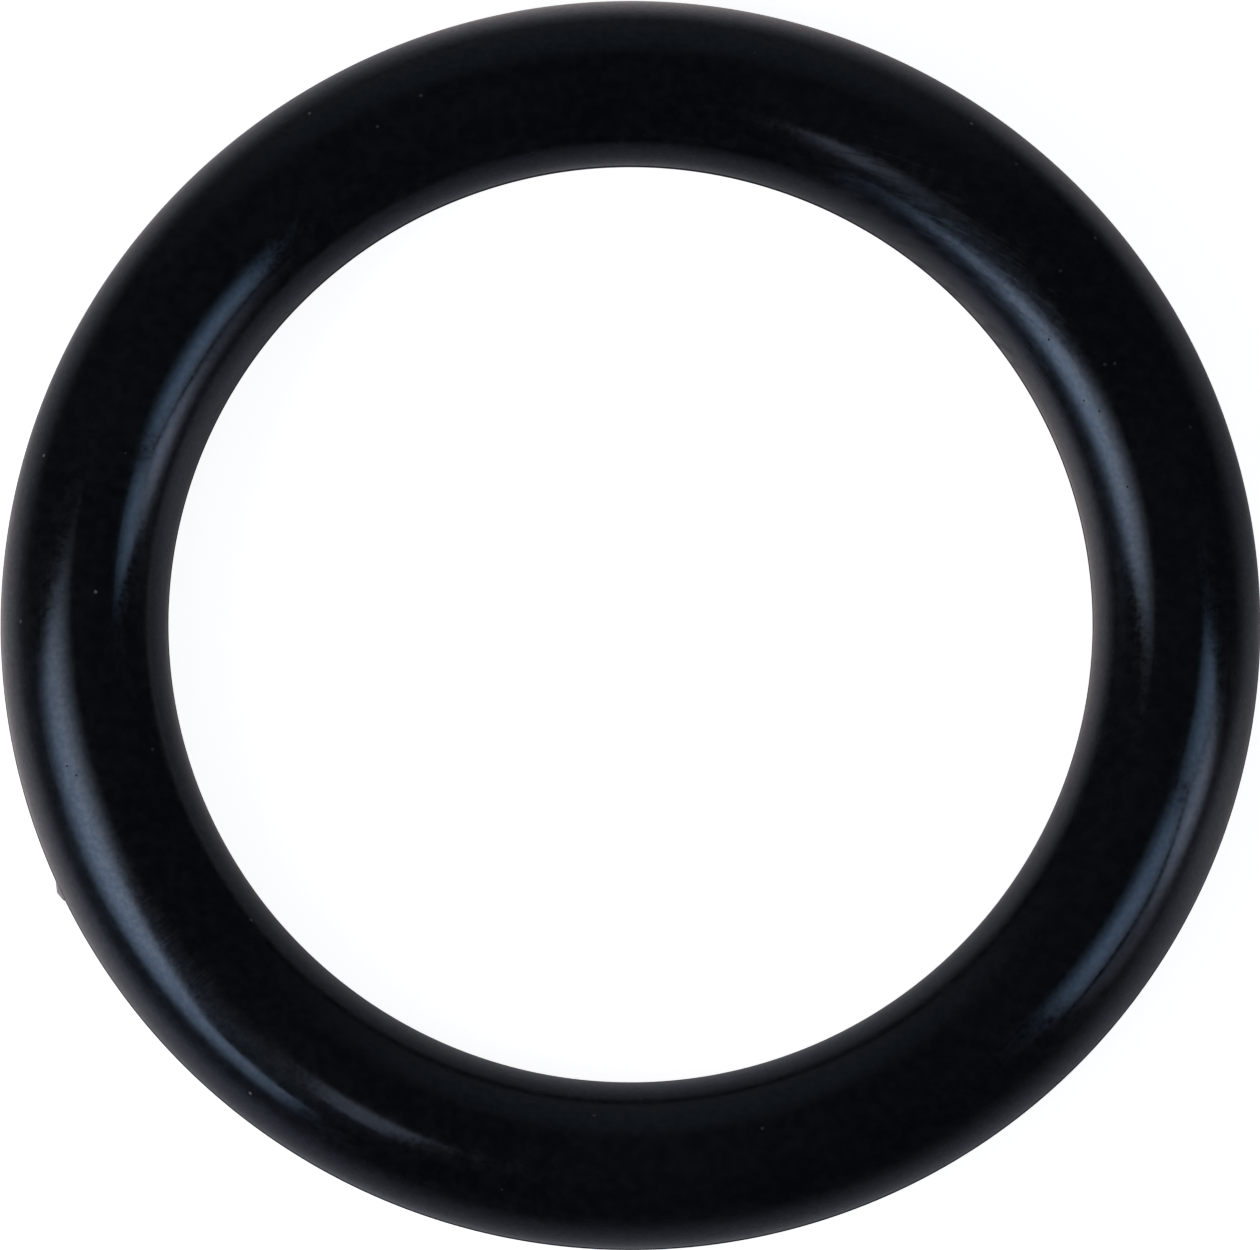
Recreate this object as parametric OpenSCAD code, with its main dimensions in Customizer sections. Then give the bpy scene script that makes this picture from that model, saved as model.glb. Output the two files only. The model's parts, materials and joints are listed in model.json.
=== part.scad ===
// Rubber o-ring of round section, moulded in one piece.
//
// Millimetres, +Z up along the ring's axis. The origin is the centre of the ring, in the
// plane where the two halves of the mould met, so the ring lies half above and half below it.
// Trimming left a fine line of rubber along that plane, round the hole and round the outside,
// and one short scrap of flash on the outer edge.

/* [Ring] */
// Inside diameter of the ring, on its round surface
inside_d = 29.51; // [8:0.01:150]
// Diameter of the round section
section_d = 5.33; // [1.5:0.01:10]

/* [Parting line] */
// Thickness of the flash between the mould halves, which is the width of the trimmed line
flash_t = 0.16; // [0.08:0.01:0.4]
// How far the trimmed line stands proud of the round surface
trim_h = 0.015; // [0.005:0.005:0.06]

/* [Flash scrap] */
// Length of the scrap along the outer edge
scrap_l = 0.7; // [0.4:0.01:1.5]
// How far the crest of the scrap stands out past the trimmed line
scrap_h = 0.12; // [0.06:0.01:0.3]
// Height of the torn step at the scrap's counterclockwise end, past the trimmed line
scrap_step_h = 0.05; // [0.01:0.01:0.06]
// Length over which the torn step falls away
scrap_step_l = 0.06; // [0.02:0.01:0.15]
// Place of the scrap round the ring, counterclockwise from +X as seen from above
scrap_angle = 205.35; // [0:0.05:360]

/* [Hidden] */

$fn = 180;

section_r = section_d / 2;
inside_r = inside_d / 2;
middle_r = inside_r + section_r;
outside_r = inside_r + section_d;
trim_r = outside_r + trim_h;

// How deep the scrap's outline reaches into the round section, so that it grows out of the ring
scrap_root = section_r / 4;

// Round section in the plane of the axis, with the trimmed line on its inner and outer side
module ring_section() {
    translate([middle_r, 0]) {
        circle(r = section_r);
        square([section_d + 2 * trim_h, flash_t], center = true);
    }
}

// Outline of the scrap as seen from above, with X pointing out from the ring
module scrap_outline() {
    polygon([
        [outside_r - scrap_root, -scrap_l / 2],
        [outside_r, -scrap_l / 2],
        [trim_r + scrap_h, 0],
        [trim_r + scrap_step_h, scrap_l / 2 - scrap_step_l],
        [outside_r, scrap_l / 2],
        [outside_r - scrap_root, scrap_l / 2]
    ]);
}

module flash_scrap() {
    rotate([0, 0, scrap_angle])
        linear_extrude(height = flash_t, center = true)
            scrap_outline();
}

module o_ring() {
    color([0.03, 0.03, 0.033])
        union() {
            rotate_extrude()
                ring_section();
            flash_scrap();
        }
}

o_ring();
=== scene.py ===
# %% [markdown]
# # A rubber o-ring
# The object is one moulded ring of black rubber, seen from almost straight above. The photo has
# no scale, so its 40 mm across is an estimate. There is little to it but its section, its gloss
# and the traces of its making, so most of this lesson is about a fine mesh, a good black and
# lamps that stand in the right place. All lengths are in metres, and `MM` turns a size in
# millimetres into them.

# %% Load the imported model
import json
import math

import bmesh
import bpy
from mathutils import Matrix, Vector


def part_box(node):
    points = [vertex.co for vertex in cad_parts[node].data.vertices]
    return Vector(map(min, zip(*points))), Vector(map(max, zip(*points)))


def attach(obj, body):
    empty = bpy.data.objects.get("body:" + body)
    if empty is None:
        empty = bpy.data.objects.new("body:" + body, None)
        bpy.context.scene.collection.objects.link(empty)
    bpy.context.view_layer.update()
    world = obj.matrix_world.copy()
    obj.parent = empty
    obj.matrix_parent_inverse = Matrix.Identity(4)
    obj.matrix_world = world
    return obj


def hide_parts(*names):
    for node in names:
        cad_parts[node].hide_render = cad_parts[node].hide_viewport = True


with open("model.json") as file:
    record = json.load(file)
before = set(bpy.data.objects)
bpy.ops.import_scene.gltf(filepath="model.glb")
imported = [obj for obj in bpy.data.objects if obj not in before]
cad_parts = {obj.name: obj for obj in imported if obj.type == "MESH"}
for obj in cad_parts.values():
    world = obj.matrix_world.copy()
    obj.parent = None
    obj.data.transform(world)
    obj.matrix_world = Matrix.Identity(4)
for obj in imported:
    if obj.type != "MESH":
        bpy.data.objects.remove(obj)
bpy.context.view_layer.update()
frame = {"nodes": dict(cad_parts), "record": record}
MM = 0.001
print("nodes:", sorted(frame["nodes"]))

# %% [markdown]
# ## Sizes
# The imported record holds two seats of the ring: the wall of its hole and the wall of its
# outside, both on the line where the two halves of the mould met. The section and the parting
# line follow from them and from the height of the solid. Only the scrap of flash has sizes of
# its own, which are the same as in the solid.

# %% Take the ring's sizes from the frame
mounts = {mount["name"]: mount for mount in frame["record"]["mounts"]}
lowest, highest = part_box("o_ring")
line_inside_r = mounts["inside_seat"]["dims"]["r_mm"] * MM
line_outside_r = mounts["outside_seat"]["dims"]["r_mm"] * MM
line_width = mounts["outside_seat"]["dims"]["length_mm"] * MM
middle_r = (line_inside_r + line_outside_r) / 2
section_r = (highest.z - lowest.z) / 2
line_height = line_outside_r - middle_r - section_r
print(f"middle radius {middle_r / MM:.3f} mm, section radius {section_r / MM:.3f} mm")
print(f"parting line {line_width / MM:.3f} mm wide and {line_height / MM:.3f} mm proud")

# %% [markdown]
# ## The ring's mesh
# A torus primitive would give the round form, but neither the parting line nor the scrap of
# flash. Here the section is a circle that is spun about the axis, as a lathe would do it. The
# spin is made in two stretches: a short one with fine steps where the scrap of flash sits, and
# a long one with coarser steps for the rest of the ring.

# %% Draw the section and spin it
SECTION_POINTS = 96
SCRAP_ANGLE = math.radians(205.35)
FINE_ARC = math.radians(3.0)
FINE_STEPS = 72
COARSE_STEPS = 357
MERGE_WITHIN = 0.0002 * MM


def ring_point(angle, radius=middle_r, height=0.0):
    """Point at an angle round the ring, counterclockwise from +X, and a radius from its axis."""
    return Vector((radius * math.cos(angle), radius * math.sin(angle), height))


bpy.ops.object.select_all(action="DESELECT")
spin_start = SCRAP_ANGLE - FINE_ARC / 2
bpy.ops.mesh.primitive_circle_add(
    vertices=SECTION_POINTS, radius=section_r, fill_type="NOTHING",
    location=ring_point(spin_start), rotation=(math.pi / 2, 0, spin_start))
ring = bpy.context.object
ring.name = ring.data.name = "moulded_ring"
bpy.ops.object.transform_apply(location=True, rotation=True, scale=True)
bpy.ops.object.mode_set(mode="EDIT")
bpy.ops.mesh.select_all(action="SELECT")
for steps, arc in ((FINE_STEPS, FINE_ARC), (COARSE_STEPS, math.tau - FINE_ARC)):
    bpy.ops.mesh.spin(steps=steps, angle=arc, center=(0, 0, 0), axis=(0, 0, -1))
bpy.ops.mesh.select_all(action="SELECT")
bpy.ops.mesh.remove_doubles(threshold=MERGE_WITHIN)
bpy.ops.mesh.normals_make_consistent(inside=False)
mesh = bmesh.from_edit_mesh(ring.data)
print("spun ring:", len(mesh.verts), "points,", len(mesh.faces), "faces")
print("open edges:", sum(1 for edge in mesh.edges if len(edge.link_faces) != 2))

# %% [markdown]
# ## The parting line
# Where the mould closed, a thin sheet of flash formed. It was trimmed off, but a fine line of
# rubber stays. The photo shows only its scrap, so the line's width and height are guesses. Two
# cuts with bisect mark the line's edges, and the narrow band of faces between them is then
# extruded outwards, both round the outside and round the hole.

# %% Raise the parting line
def pick_faces(test):
    """Selects only the faces whose middle passes the test, and says how many."""
    bpy.ops.mesh.select_mode(type="FACE")
    bpy.ops.mesh.select_all(action="DESELECT")
    mesh = bmesh.from_edit_mesh(ring.data)
    found = 0
    for face in mesh.faces:
        if test(face.calc_center_median()):
            face.select_set(True)
            found += 1
    mesh.select_flush_mode()
    bmesh.update_edit_mesh(ring.data)
    return found


for height in (-line_width / 2, line_width / 2):
    bpy.ops.mesh.select_all(action="SELECT")
    bpy.ops.mesh.bisect(plane_co=(0, 0, height), plane_no=(0, 0, 1), threshold=MERGE_WITHIN)
band_faces = pick_faces(lambda middle: abs(middle.z) < line_width / 2)
bpy.ops.mesh.extrude_region_shrink_fatten(TRANSFORM_OT_shrink_fatten={"value": line_height})
reach = [math.hypot(v.co.x, v.co.y) for v in bmesh.from_edit_mesh(ring.data).verts]
print("faces in the line:", band_faces)
print(f"radii from {min(reach) / MM:.4f} to {max(reach) / MM:.4f} mm")

# %% [markdown]
# ## The scrap of flash
# At one place on the outside the trimming left a scrap, 0.7 mm long. Seen from above it rises
# evenly to a crest and ends in a small torn step. The outer wall of the parting line is extruded
# there in a few stages. At each stage every column of points goes out by its share of the torn
# outline, and the sheet gets thinner. A stage is given by its share of the way out and by the
# share of the thickness that is left.

# %% Pull out the scrap
SCRAP_LENGTH = 0.7 * MM
CREST_HEIGHT = 0.12 * MM
STEP_HEIGHT = 0.05 * MM
STEP_LENGTH = 0.06 * MM
STAGES = ((0.45, 0.92), (0.8, 0.8), (1.0, 0.5))
WALL_TOLERANCE = 0.002 * MM


def torn_outline(along):
    """How far the scrap stands out at a place along it, in metres from its middle."""
    half = SCRAP_LENGTH / 2
    if abs(along) >= half:
        return 0.0
    if along < 0:
        return CREST_HEIGHT * (1 + along / half)
    if along < half - STEP_LENGTH:
        return CREST_HEIGHT + (STEP_HEIGHT - CREST_HEIGHT) * along / (half - STEP_LENGTH)
    return STEP_HEIGHT * (half - along) / STEP_LENGTH


def along_scrap(place):
    """Distance of a place from the middle of the scrap, along the outer edge."""
    angle = math.atan2(place.y, place.x) - SCRAP_ANGLE
    return math.remainder(angle, math.tau) * line_outside_r


def on_outer_wall(place):
    """Is a place on the outer wall of the parting line, within the scrap's length?"""
    inside_line = abs(place.z) < line_width / 2
    far_out = math.hypot(place.x, place.y) > line_outside_r - WALL_TOLERANCE
    return inside_line and far_out and abs(along_scrap(place)) < SCRAP_LENGTH / 2


wall_faces = pick_faces(on_outer_wall)
done = 0.0
thickness = 1.0
for share, thin in STAGES:
    bpy.ops.mesh.extrude_region_move()
    bpy.ops.transform.resize(value=(1, 1, thin / thickness), center_override=(0, 0, 0))
    bpy.ops.mesh.select_mode(type="VERT")
    mesh = bmesh.from_edit_mesh(ring.data)
    front = [vert for vert in mesh.verts if vert.select]
    for vert in front:
        out = torn_outline(along_scrap(vert.co)) * (share - done)
        flat = Vector((vert.co.x, vert.co.y, 0)).normalized()
        vert.co += flat * out
    bmesh.update_edit_mesh(ring.data)
    bpy.ops.mesh.select_mode(type="FACE")
    done = share
    thickness = thin
print("faces in the scrap's wall:", wall_faces, "points at its front:", len(front))
crest = max(front, key=lambda vert: vert.co.xy.length)
print(f"scrap from {min(along_scrap(v.co) for v in front) / MM:.3f} mm")
print(f"to {max(along_scrap(v.co) for v in front) / MM:.3f} mm along the edge,")
print(f"{(crest.co.xy.length - line_outside_r) / MM:.3f} mm high")

# %% [markdown]
# ## Closing the mesh
# At both ends of the scrap its stages run out to nothing, so some points now lie on each other.
# They are merged, and the faces are smoothed wherever they meet at a small angle. The step of
# the parting line and the torn edge of the scrap stay sharp.

# %% Merge and smooth
SMOOTH_BELOW = math.radians(32)
bpy.ops.mesh.select_mode(type="VERT")
bpy.ops.mesh.select_all(action="SELECT")
bpy.ops.mesh.remove_doubles(threshold=MERGE_WITHIN)
bpy.ops.mesh.normals_make_consistent(inside=False)
bpy.ops.object.mode_set(mode="OBJECT")
bpy.ops.object.shade_smooth_by_angle(angle=SMOOTH_BELOW)
triangles = sum(len(face.vertices) - 2 for face in ring.data.polygons)
print("moulded ring:", triangles, "triangles")

# %% [markdown]
# ## Writing shader maths
# A black rubber needs a lot of small arithmetic. The class below wraps one output of a node, so
# that a Python expression such as `1 - mask * 0.5` adds the Math nodes by itself. Every other
# node comes from one function, `add`, which sets the node's settings and then its inputs.

# %% A socket that can be calculated with
class Value:
    """One output of a shader node. Arithmetic on it adds Math nodes to the same tree."""

    def __init__(self, tree, socket):
        self.tree = tree
        self.socket = socket

    def math(self, operation, *others):
        """A Math node on this value and the others."""
        inputs = dict(enumerate((self, *others)))
        return add(self.tree, "ShaderNodeMath", {"operation": operation}, inputs)

    def __add__(self, other):
        return self.math("ADD", other)

    __radd__ = __add__

    def __sub__(self, other):
        return self.math("SUBTRACT", other)

    def __rsub__(self, other):
        return self.math("MULTIPLY", -1.0) + other

    def __mul__(self, other):
        return self.math("MULTIPLY", other)

    __rmul__ = __mul__

    def __truediv__(self, other):
        return self.math("DIVIDE", other)

    def ramp(self, start, end, top=1.0):
        """0 at start and top at end, with a smooth change between; start may be the larger."""
        settings = {"interpolation_type": "SMOOTHSTEP"}
        if start <= end:
            ends = {1: start, 2: end, 3: 0.0, 4: top}
        else:
            ends = {1: end, 2: start, 3: top, 4: 0.0}
        return add(self.tree, "ShaderNodeMapRange", settings, {0: self, **ends})


# %% Any other node
def add(tree, kind, settings=None, inputs=None, out=0):
    """Adds a node with its settings and inputs, and gives back one output of it."""
    node = tree.nodes.new(kind)
    for name, setting in (settings or {}).items():
        setattr(node, name, setting)
    for key, given in (inputs or {}).items():
        if isinstance(given, Value):
            tree.links.new(given.socket, node.inputs[key])
        else:
            node.inputs[key].default_value = given
    return Value(tree, node.outputs[out]) if len(node.outputs) else None


def measure(operation, vector, other):
    """A number worked out from two vectors, such as their distance. The first is a Value."""
    inputs = {0: vector, 1: tuple(other)}
    return add(vector.tree, "ShaderNodeVectorMath", {"operation": operation}, inputs, "Value")


# %% [markdown]
# ## The black rubber
# The real ring looks like satin nitrile rubber: close to black, with a cool tone where a lamp
# mirrors in it and a neutral one at its rims. The photo can't tell whether that tone belongs to
# the rubber or to its lamps. Here the rubber has it, as a tint of its gloss. There is a faint
# cloudy bloom, with streaks along the ring, fine scuffs, some specks of dust and a few pinholes.
# All of it is worked out from the place on the ring, so it continues right round the section.

# %% Places on the ring, for the patterns
rubber = bpy.data.materials.new("black_rubber")
rubber.use_nodes = True
tree = rubber.node_tree
tree.nodes.clear()
place = add(tree, "ShaderNodeTexCoord", out="Object")
split = {"Vector": place}
x = add(tree, "ShaderNodeSeparateXYZ", inputs=split, out="X")
y = add(tree, "ShaderNodeSeparateXYZ", inputs=split, out="Y")
z = add(tree, "ShaderNodeSeparateXYZ", inputs=split, out="Z")
from_axis = (x * x + y * y).math("SQRT")
across = from_axis - middle_r
share = across * (1 / section_r)
cosine = x / from_axis
sine = y / from_axis
outward = add(tree, "ShaderNodeCombineXYZ", inputs={"X": cosine, "Y": sine, "Z": 0.0})
print("nodes for the place on the ring:", len(tree.nodes))

# %% [markdown]
# Two kinds of pattern are needed. Dust, speckle and clouds look the same in every direction, so
# they are noise on the object's own coordinates. Marks from the mould and from handling run
# along the ring or across it. For those the noise is given the ring's own directions: a point
# on a circle for the way round, and the place in the section for the way across. A circle has
# no seam, so the pattern has none either.

# %% Noise in every direction, and noise along the ring's own directions
def noise(size, detail=2.0, roughness=0.5):
    """Noise with features of this size in millimetres, from 0 to 1."""
    inputs = {"Vector": place, "Scale": 1 / (size * MM), "Detail": detail, "Roughness": roughness}
    return add(tree, "ShaderNodeTexNoise", {"noise_dimensions": "3D"}, inputs)


def drawn_noise(along, wide):
    """Noise with features this long round the ring and this wide across it, in millimetres."""
    turns = middle_r / (along * MM)
    step = 1 / (wide * MM)
    inputs = {"X": cosine * turns, "Y": sine * turns, "Z": across * step}
    round_place = add(tree, "ShaderNodeCombineXYZ", inputs=inputs)
    inputs = {"Vector": round_place, "W": z * step, "Scale": 1.0, "Detail": 1.0}
    return add(tree, "ShaderNodeTexNoise", {"noise_dimensions": "4D"}, inputs)


# %% Bloom, clouds, speckle and flow streaks
BLOOM_SIZE = 5.0
CLOUD_SIZE = 0.42
SPECKLE_SIZE = 0.18
FLOW_LENGTH = 2.2
FLOW_WIDTH = 0.09
bloom = noise(BLOOM_SIZE, detail=1.0).ramp(0.35, 0.7)
clouds = noise(CLOUD_SIZE).ramp(0.35, 0.7)
speckle = noise(SPECKLE_SIZE, roughness=0.6)
flow = drawn_noise(FLOW_LENGTH, FLOW_WIDTH)
print("nodes with the large patterns:", len(tree.nodes))

# %% [markdown]
# Two places on the ring were rubbed. At the lower left, fine hairlines run across the ring just
# outside its crest, and at the upper right short strokes run nearly along it, which fray the edge
# of the reflection there. A scratched surface is rougher, so a hairline catches the light of a
# lamp that the clean rubber beside it doesn't mirror. The trimmed line and the torn scrap are
# dull too, and each gets its own mask from its place.

# %% Hairlines at the lower left
HAIRLINES_AT = 219
HAIRLINES_REACH = 11
HAIRLINE_PITCH = 0.06
HAIRLINE_LENGTH = 1.5


def facing(angle, reach):
    """1 near an angle round the ring, in degrees, and 0 further than reach from it."""
    aim = (math.cos(math.radians(angle)), math.sin(math.radians(angle)), 0)
    toward_it = measure("DOT_PRODUCT", outward, aim)
    return toward_it.ramp(math.cos(math.radians(reach)), math.cos(math.radians(reach * 0.5)))


hairlines = drawn_noise(HAIRLINE_PITCH, HAIRLINE_LENGTH).ramp(0.45, 0.72)
rubbed = facing(HAIRLINES_AT, HAIRLINES_REACH) * share.ramp(-0.1, 0.15) * share.ramp(0.5, 0.3)
hairlines = hairlines * rubbed
print("nodes with the hairlines:", len(tree.nodes))

# %% Strokes at the upper right
STROKES_AT = 49
STROKES_REACH = 21
STROKE_LENGTH = 1.1
STROKE_WIDTH = 0.14
STROKE_SLANT = 0.22


def slanted_noise(angle, along, wide, slant):
    """Strokes near an angle round the ring, which drift outwards by slant as they run."""
    run = y * math.cos(math.radians(angle)) - x * math.sin(math.radians(angle))
    inputs = {"X": run * (1 / (along * MM)), "Y": (across + run * slant) * (1 / (wide * MM))}
    local_place = add(tree, "ShaderNodeCombineXYZ", inputs=inputs)
    inputs = {"Vector": local_place, "Scale": 1.0, "Detail": 2.0}
    return add(tree, "ShaderNodeTexNoise", {"noise_dimensions": "2D"}, inputs)


strokes = slanted_noise(STROKES_AT, STROKE_LENGTH, STROKE_WIDTH, STROKE_SLANT)
stroked = facing(STROKES_AT, STROKES_REACH) * share.ramp(0.15, -0.1)
print("nodes with the strokes:", len(tree.nodes))

# %% Cut and torn rubber
TORN_DEPTH = 0.04 * MM
TORN_REACH = 1.15
trimmed = z.math("ABSOLUTE").ramp(line_width * 0.55, line_width * 0.45)
torn = from_axis.ramp(line_outside_r - TORN_DEPTH, line_outside_r)
torn = torn * facing(math.degrees(SCRAP_ANGLE), TORN_REACH)
print("nodes with the cut rubber:", len(tree.nodes))

# %% [markdown]
# Specks of dust and pinholes are round and very small. The larger ones are put at their own
# places, given by the angle round the ring and the place across it, from -1 at the hole to +1
# outside; dust also has a strength. The many small ones come from a Voronoi texture, which has
# one point in each cell: a speck is drawn round a point, and the cell's random colour says of
# which kind it is.

# %% Dust and pinholes
DUST = (
    (18.6, 0.52, 0.2), (27.4, -0.02, 0.2), (27.8, -0.13, 0.2), (36.7, 0.84, 1.0),
    (38.7, 0.05, 0.2), (39.3, 0.65, 0.4), (49.7, 0.60, 0.25), (55.5, 0.67, 0.8),
    (111.9, 0.19, 0.3), (117.3, 0.06, 0.25), (122.4, 0.64, 0.9), (164.6, 0.74, 0.9),
    (177.8, -0.15, 0.8), (180.5, 0.75, 0.5), (195.9, -0.61, 0.25), (219.0, -0.72, 0.5),
    (231.7, 0.77, 1.0), (265.9, -0.50, 0.25), (284.2, -0.15, 0.25))
PINHOLES = (
    (14.4, -0.41), (23.5, -0.43), (25.4, -0.54), (33.5, -0.54),
    (195.3, 0.43), (196.5, 0.35), (205.8, 0.24))
DUST_RADIUS = 0.075 * MM
PINHOLE_RADIUS = 0.05 * MM
SPECK_CELL = 1.0
SPECK_RADIUS = 0.05


def spot(angle, place_across, radius, strength=1.0):
    """A small round mask on the upper side of the ring."""
    height = section_r * math.sqrt(1 - place_across ** 2)
    centre = ring_point(math.radians(angle), middle_r + section_r * place_across, height)
    return measure("DISTANCE", place, centre).ramp(radius, radius * 0.4, strength)


inputs = {"Vector": place, "Scale": 1 / (SPECK_CELL * MM)}
away = add(tree, "ShaderNodeTexVoronoi", inputs=inputs, out="Distance")
kind = Value(tree, away.socket.node.outputs["Color"])
kind = add(tree, "ShaderNodeSeparateColor", inputs={"Color": kind}, out="Red")
speck = away.ramp(SPECK_RADIUS / SPECK_CELL, SPECK_RADIUS / SPECK_CELL * 0.4)
dust = speck * kind.ramp(0.6, 1.0, 0.4)
pinholes = speck * kind.ramp(0.3, 0.0, 0.7)
for angle, place_across, strength in DUST:
    dust = dust.math("MAXIMUM", spot(angle, place_across, DUST_RADIUS, strength))
for angle, place_across in PINHOLES:
    pinholes = pinholes.math("MAXIMUM", spot(angle, place_across, PINHOLE_RADIUS))
print("placed specks:", len(DUST), "of dust and", len(PINHOLES), "pinholes")

# %% [markdown]
# The masks now meet in one Principled shader. The bloom only lifts the black a little, the torn
# scrap is painted pale grey as painted light on its thin edge, and dust is grey. The rubber is
# duller towards the parting line and on every mark, and dullest where there is dust or a pinhole.
# A thin coat in the pattern of the speckle gives the highlights their fine grain. The bump is only
# about a micron deep, since more of it would fray the ends of the highlights.

# %% Colour of the rubber
DEEP_BLACK = (0.0007, 0.0009, 0.0013)
BLOOMED_BLACK = (0.0042, 0.0046, 0.0057)
# Painted light: the torn scrap's pale grey stands in for the light at its thin edge.
SCRAP_PAINTED_PALE = (0.42, 0.40, 0.41)
DUST_GREY = (0.12, 0.12, 0.125)


def mix_colour(mask, first, second):
    """Mixes two colours by a mask. A colour is a Value, or red, green and blue."""
    first, second = (c if isinstance(c, Value) else (*c, 1.0) for c in (first, second))
    inputs = {0: mask, 6: first, 7: second}
    return add(mask.tree, "ShaderNodeMix", {"data_type": "RGBA"}, inputs, out=2)


base = mix_colour(clouds * 0.65 + bloom * 0.35, DEEP_BLACK, BLOOMED_BLACK)
# The torn scrap is painted pale grey, a painted stand-in for the light at its thin edge; black rubber
# is far darker.
base = mix_colour(torn, base, SCRAP_PAINTED_PALE)
base = mix_colour(dust, base, DUST_GREY)
print("nodes with the colour:", len(tree.nodes))

# %% Gloss, film and height
CLEAN_ROUGHNESS = 0.05
MICRON = 0.001 * MM
toward_line = share.math("ABSOLUTE").ramp(0.52, 0.74)
gloss = CLEAN_ROUGHNESS + speckle * 0.08 + clouds * 0.04 + flow.ramp(0.45, 0.65) * 0.03
gloss = gloss + toward_line * 0.13 + hairlines * 0.12
gloss = gloss + stroked * 0.06 + stroked * strokes.ramp(0.5, 0.7) * 0.14
gloss = gloss + trimmed * 0.3 + torn * 0.3 + (dust + pinholes) * 0.6
film = speckle.ramp(0.35, 0.65, 0.15)
height = speckle * 0.7 + clouds * 0.6 + flow * 0.4 + stroked * strokes * 2.0
bump = add(tree, "ShaderNodeBump", inputs={"Strength": 1.0, "Distance": MICRON, "Height": height})
print("nodes with the gloss:", len(tree.nodes))

# %% Put the rubber on the ring
principled = add(
    tree, "ShaderNodeBsdfPrincipled",
    inputs={
        "Base Color": base,
        "Roughness": gloss,
        "IOR": 1.43,
        "Specular Tint": (0.51, 0.70, 1.0, 1.0),
        "Coat Weight": film,
        "Coat Roughness": 0.16,
        "Normal": bump,
    })
add(tree, "ShaderNodeOutputMaterial", inputs={"Surface": principled})
ring.data.materials.append(rubber)
print("nodes in the rubber:", len(tree.nodes))

# %% Put the ring in the CAD node's place
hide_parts("o_ring")
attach(ring, "root")
print(ring.name, "takes the place of o_ring")

# %% [markdown]
# ## Floor
# The ring lies on a white table. To the camera it is white all over: it is lit by the lamps, has
# the rest of its white from its own light, and keeps the ring's soft shadow. The rims of the
# ring mirror it, and how bright it is there decides how they look. Its colour is painted darker
# and darker further out, a painted shade as if it took less light there, so that the rims fade
# softly towards the crest, and painted shade makes it a little darker in the middle of the hole.
# That alone doesn't give the rims of the photo, so soft pools of light are added, which only
# mirrored rays see. They are a device: their places and strengths were found by trial
# against the photo, which doesn't show what lit its table.

# %% Lay the floor
FLOOR_SIZE = 6.0
bpy.ops.object.select_all(action="DESELECT")
bpy.ops.mesh.primitive_plane_add(size=FLOOR_SIZE, location=(0, 0, lowest.z))
floor = bpy.context.object
floor.name = "table_top"
white = bpy.data.materials.new("white_table")
white.use_nodes = True
floor_tree = white.node_tree
floor_tree.nodes.clear()
position = add(floor_tree, "ShaderNodeNewGeometry", out="Position")


def round_patch(centre, edge, full, top=1.0):
    """A soft round patch of the table: 0 at its edge, top within full. In millimetres."""
    away = measure("DISTANCE", position, (centre[0] * MM, centre[1] * MM, lowest.z))
    return away.ramp(edge * MM, full * MM, top)


print(f"table {FLOOR_SIZE:.1f} m wide, at {lowest.z / MM:.3f} mm")

# %% Colour of the table
# Painted shade: the table's colour falls from the near white to a dark grey further out, and is a
# little darker in the middle of the hole.
FAR_PAINTED_SHADE = (0.16, 0.17, 0.19)
NEAR_WHITE = (0.59, 0.60, 0.68)
HOLE_PAINTED_SHADE_DEPTH = 0.35
near = round_patch((-1, 5), 62, 22)
hole_painted_shade = round_patch((-2, -1), 11, 3)
near = near * (1.0 - hole_painted_shade * HOLE_PAINTED_SHADE_DEPTH)
painted_table_colour = mix_colour(near, FAR_PAINTED_SHADE, NEAR_WHITE)
inputs = {"Base Color": painted_table_colour, "Roughness": 0.3, "IOR": 1.55}
table = add(floor_tree, "ShaderNodeBsdfPrincipled", inputs=inputs)
print("nodes in the table's colour:", len(floor_tree.nodes))

# %% Light of the table
EVEN_GLOW = 0.04
LIT_SHARE = 0.12
GLOW_COLOUR = (1.15, 1.0, 0.93, 1)
POOLS = (
    ((0, 25), 15, 0, 0.39), ((-18, 18), 12, 1, 0.17), ((19, 20), 13, 1, 0.16),
    ((-26, -5), 18, 3, 0.31), ((10, 3), 12, 1, 0.32), ((28, -6), 13, 2, 0.12),
    ((0, 60), 45, 10, 0.1))
seen = add(floor_tree, "ShaderNodeLightPath", out="Is Camera Ray")
mirrored = add(floor_tree, "ShaderNodeLightPath", out="Is Glossy Ray")
through = add(floor_tree, "ShaderNodeLightPath", out="Is Transmission Ray")
pools = EVEN_GLOW
for centre, edge, full, strength in POOLS:
    pools = pools + round_patch(centre, edge, full, strength)
white_glow = seen.math("MAXIMUM", through) * (1.0 - near * LIT_SHARE)
inputs = {"Color": (1, 1, 1, 1), "Strength": white_glow}
glow = add(floor_tree, "ShaderNodeEmission", inputs=inputs)
inputs = {"Color": GLOW_COLOUR, "Strength": mirrored * pools}
warm = add(floor_tree, "ShaderNodeEmission", inputs=inputs)
glow = add(floor_tree, "ShaderNodeAddShader", inputs={0: glow, 1: warm})
both = add(floor_tree, "ShaderNodeAddShader", inputs={0: table, 1: glow})
add(floor_tree, "ShaderNodeOutputMaterial", inputs={"Surface": both})
floor.data.materials.append(white)
print("pools of light in the table:", len(POOLS))

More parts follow.
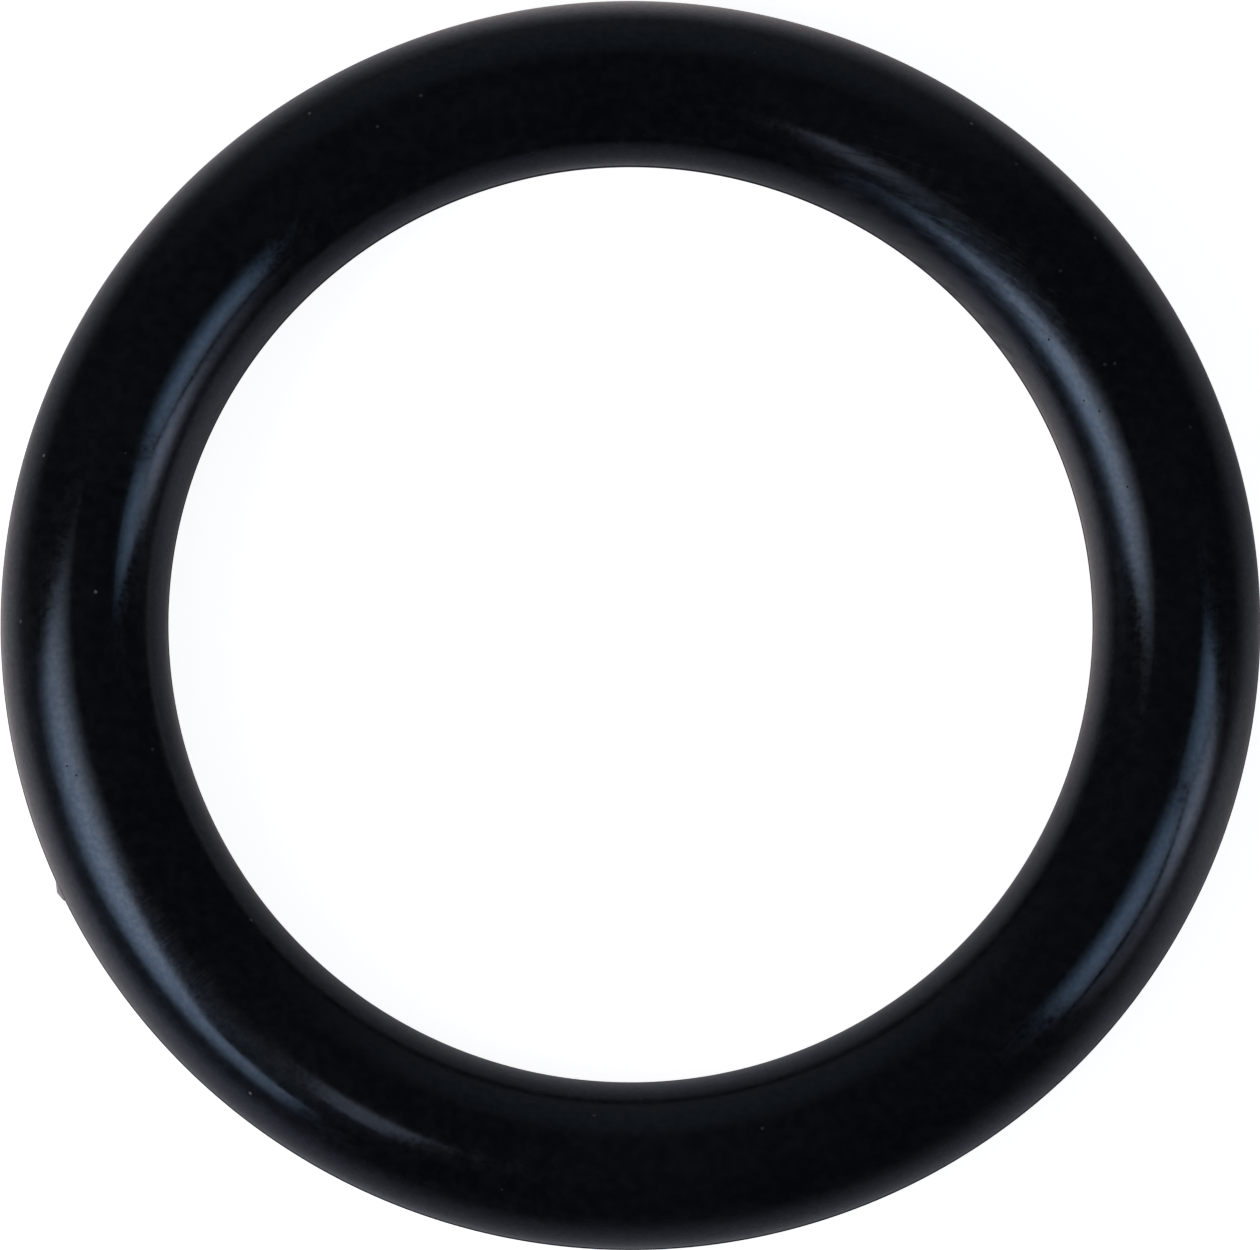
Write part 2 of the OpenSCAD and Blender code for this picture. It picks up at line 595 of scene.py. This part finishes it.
# %% [markdown]
# ## Lamps
# Two softboxes light the ring, one at its left and one at its right, both about 40 degrees above
# the table. Their mirror images are the long pale streaks on the rubber, so their place, size
# and outline decide how the ring looks, and all three were worked out backwards from the photo's
# streaks. A softbox is an area lamp that faces the ring's centre. Soft straight edges and a hot
# spot are worked out on its face, as if black cards were hung in front of it.

# %% A softbox with cards in front of it
def toward(azimuth, zenith):
    """Direction from the ring's centre, in degrees counterclockwise from +X and down from +Z."""
    a = math.radians(azimuth)
    z = math.radians(zenith)
    return Vector((math.sin(z) * math.cos(a), math.sin(z) * math.sin(a), math.cos(z)))


class Softbox:
    """An area lamp that faces the ring's centre. Places on its face are in millimetres."""

    def __init__(self, name, azimuth, zenith, distance, reach):
        """reach gives the left, right, lower and upper edge of the lamp, from its aim."""
        left, right, lower, upper = (edge * MM for edge in reach)
        away = toward(azimuth, zenith)
        side = Vector((0, 0, 1)).cross(away).normalized()
        upward = away.cross(side)
        data = bpy.data.lights.new(name, "AREA")
        data.shape = "RECTANGLE"
        data.size = right - left
        data.size_y = upper - lower
        data.energy = math.pi * data.size * data.size_y
        data.use_nodes = True
        self.tree = data.node_tree
        self.emission = self.tree.nodes["Emission"]
        position = add(self.tree, "ShaderNodeNewGeometry", out="Position")
        self.a = measure("DOT_PRODUCT", position, side / MM)
        self.b = measure("DOT_PRODUCT", position, upward / MM)
        self.face = add(self.tree, "ShaderNodeCombineXYZ", inputs={"X": self.a, "Y": self.b, "Z": 1.0})
        lamp = bpy.data.objects.new(name, data)
        bpy.context.scene.collection.objects.link(lamp)
        middle = away * distance + side * (left + right) / 2 + upward * (lower + upper) / 2
        turn = Matrix((side, upward, away)).transposed().to_4x4()
        lamp.matrix_world = Matrix.Translation(middle) @ turn
        lamp.visible_camera = False

    def left_of(self, start, end, soft):
        """1 on the left of the line from start to end and 0 on its right."""
        run = Vector(end) - Vector(start)
        normal = Vector((-run.y, run.x)).normalized()
        line = (normal.x, normal.y, -normal.dot(Vector(start)))
        return measure("DOT_PRODUCT", self.face, line).ramp(-soft, soft)

    def pane(self, *edges):
        """1 where a place is on the left of all these edges, each with its softness."""
        inside = self.left_of(*edges[0])
        for edge in edges[1:]:
            inside = inside * self.left_of(*edge)
        return inside

    def hot_spot(self, centre, lean, spread):
        """Brightness that falls away from a centre; its crest goes down by lean to the right."""
        off_a = self.a - centre[0]
        off_b = (self.b - centre[1] - off_a * lean) * (1 / spread[1])
        off_a = off_a * (1 / spread[0])
        return ((off_a * off_a + off_b * off_b) * -1.0).math("EXPONENT")

    def shine(self, radiance, low, high):
        """Sets the brightness, and the colour from a low place on the face to a high one."""
        way_up = self.b.ramp(low[0], high[0])
        colour = mix_colour(way_up, low[1], high[1])
        self.tree.links.new(colour.socket, self.emission.inputs["Color"])
        self.tree.links.new(radiance.socket, self.emission.inputs["Strength"])
        print("nodes in this lamp:", len(self.tree.nodes))


# %% [markdown]
# The left softbox is close and bright. Its face is a large pane with a slanting upper edge, the
# main streaks on the ring, and a narrow strip to the right of it, the short streaks at the lower
# left and the upper right. Each edge is a line from a start to an end with the lit side on its
# left, and then the distance over which it fades.

# %% The left softbox
MAIN_LIGHT = 4.6
STRIP_LIGHT = 1.35
LEFT_SPILL = 0.3
LEFT_LOW_COLOUR = (0.90, 1.0, 1.13)
LEFT_HIGH_COLOUR = (1.11, 1.0, 0.94)
left_box = Softbox("left_softbox", 205, 48, 125 * MM, (-68, 78, -84, 80))
outline = left_box.pane(
    ((-55, 66), (-61, -60), 8), ((68, -68), (57, -28), 6),
    ((-60, -67), (70, -67), 9), ((0, 67), (-60, 67), 9))
main = left_box.left_of((26.5, -22.5), (-9, 21), 6)
main = main.math("MAXIMUM", left_box.left_of((-7, 10), (-17, 64), 6))
main = main.math("MAXIMUM", left_box.left_of((60, -23.5), (0, -23.5), 4))
main = outline * main * left_box.hot_spot((-12, -12), -0.35, (69, 42))
strip = left_box.pane(
    ((21, 60), (42, 20), 5), ((57, 16), (44, 60), 5),
    ((0, 19), (60, 19), 5), ((60, 60), (0, 60), 8))
spill = left_box.hot_spot((5, 5), 0, (45, 45))
radiance = main * MAIN_LIGHT + strip * STRIP_LIGHT + spill * LEFT_SPILL
left_box.shine(radiance, (-70, LEFT_LOW_COLOUR), (45, LEFT_HIGH_COLOUR))

# %% [markdown]
# The right softbox is twice as far away and less bright. Dark bars part its face into panes, as
# in a window: a large one above, one at the right, and two below, of which one is dim. The bars
# show as the dark line that parts the long streak at the right of the ring.

# %% The right softbox
UPPER_LIGHT = 2.3
RIGHT_LIGHT = 2.1
LOWER_LIGHT = 3.0
DIM_LIGHT = 0.6
RIGHT_SPILL = 0.1
RIGHT_LOW_COLOUR = (1.14, 1.0, 0.97)
RIGHT_HIGH_COLOUR = (0.84, 1.0, 1.16)
right_box = Softbox("right_softbox", 338, 55, 240 * MM, (-80, 118, -152, 130))
upper = right_box.pane(
    ((-30, 95), (-56, -35), 8), ((-60, -24), (0, -24), 6),
    ((37, 0), (39, 95), 5), ((8, -26), (37, 0), 5))
upper = upper * right_box.hot_spot((0, 28), 0, (90, 60)) * UPPER_LIGHT
right_edge = right_box.pane(((70, -125), (95, 0), 9), ((95, 0), (96, 90), 9))
right_pane = right_edge * right_box.pane(((47, 95), (47, 5), 5), ((110, 90), (40, 90), 14))
right_pane = right_pane * right_box.hot_spot((80, 12), 0, (200, 64)) * RIGHT_LIGHT
bottom = right_box.left_of((-60, -132), (90, -132), 16)
lower_pane = right_edge * bottom * right_box.left_of((52, 10), (14, -38), 4)
lower_pane = lower_pane * right_box.hot_spot((40, -54), 0, (46, 60)) * LOWER_LIGHT
dim_pane = bottom * DIM_LIGHT * right_box.pane(
    ((-55, -35), (-47, -125), 10), ((8, -130), (8, -40), 14), ((0, -42), (-60, -42), 8))
panes = right_pane.math("MAXIMUM", lower_pane).math("MAXIMUM", dim_pane)
spill = right_box.hot_spot((30, -20), 0, (60, 75)) * RIGHT_SPILL
right_box.shine(upper + panes + spill, (-120, RIGHT_LOW_COLOUR), (80, RIGHT_HIGH_COLOUR))

# %% [markdown]
# ## The room
# The room round the table is dim, and a little brighter low down behind the ring and beyond the
# left softbox. The rubber mirrors it very faintly. The camera sees plain white there, as it does
# on the table, because a view from the side looks past the table's edge.

# %% Light the room
ROOM_LIGHT = 0.06
world = bpy.data.worlds.new("dim_studio")
bpy.context.scene.world = world
world.use_nodes = True
room = world.node_tree
looking = add(room, "ShaderNodeTexCoord", out="Generated")


def room_patch(azimuth, zenith, start, end):
    """A soft bright patch of the room in this direction; start and end are cosines."""
    return measure("DOT_PRODUCT", looking, toward(azimuth, zenith)).ramp(start, end)


ceiling = room_patch(90, 30, 0.2, 0.9) * 0.02
behind = room_patch(95, 76, 0.66, 0.98) * 0.15
beyond_left = room_patch(190, 90, 0.86, 1.0) * 0.1
dim = ROOM_LIGHT + ceiling + behind + beyond_left
seen = add(room, "ShaderNodeLightPath", out="Is Camera Ray")
sky = room.nodes["Background"]
sky.inputs["Color"].default_value = (1, 1, 1, 1)
room.links.new(dim.math("MAXIMUM", seen).socket, sky.inputs["Strength"])
print("nodes in the room:", len(room.nodes))

# %% [markdown]
# ## Camera
# The photo looks down on the ring from almost straight above. The ring's outline is a little
# wider than it is tall, which fits a camera that leans 7.7 degrees towards the lower edge. Its
# distance is a guess, and the lens follows from it and from the ring's width in the picture.

# %% Set up the camera
CAMERA_LEAN = math.radians(7.71)
CAMERA_DISTANCE = 700 * MM
FRAME_W = 1260
RING_HALF_WIDTH_PX = 630.2
RIGHT_PX = 0.5
UP_PX = 1.65
SENSOR_W = 36.0
camera_data = bpy.data.cameras.new("camera")
camera = bpy.data.objects.new("camera", camera_data)
bpy.context.scene.collection.objects.link(camera)
back = Vector((0, -math.sin(CAMERA_LEAN), math.cos(CAMERA_LEAN)))
camera.location = back * CAMERA_DISTANCE
camera.rotation_euler = (CAMERA_LEAN, 0, 0)
half_angle = math.asin(line_outside_r / CAMERA_DISTANCE)
focal_px = RING_HALF_WIDTH_PX / math.tan(half_angle)
camera_data.sensor_width = SENSOR_W
camera_data.lens = focal_px / FRAME_W * SENSOR_W
camera_data.shift_x = -RIGHT_PX / FRAME_W
camera_data.shift_y = -UP_PX / FRAME_W
bpy.context.scene.camera = camera
bpy.context.scene.view_settings.view_transform = "Standard"
print(f"lens {camera_data.lens:.1f} mm")
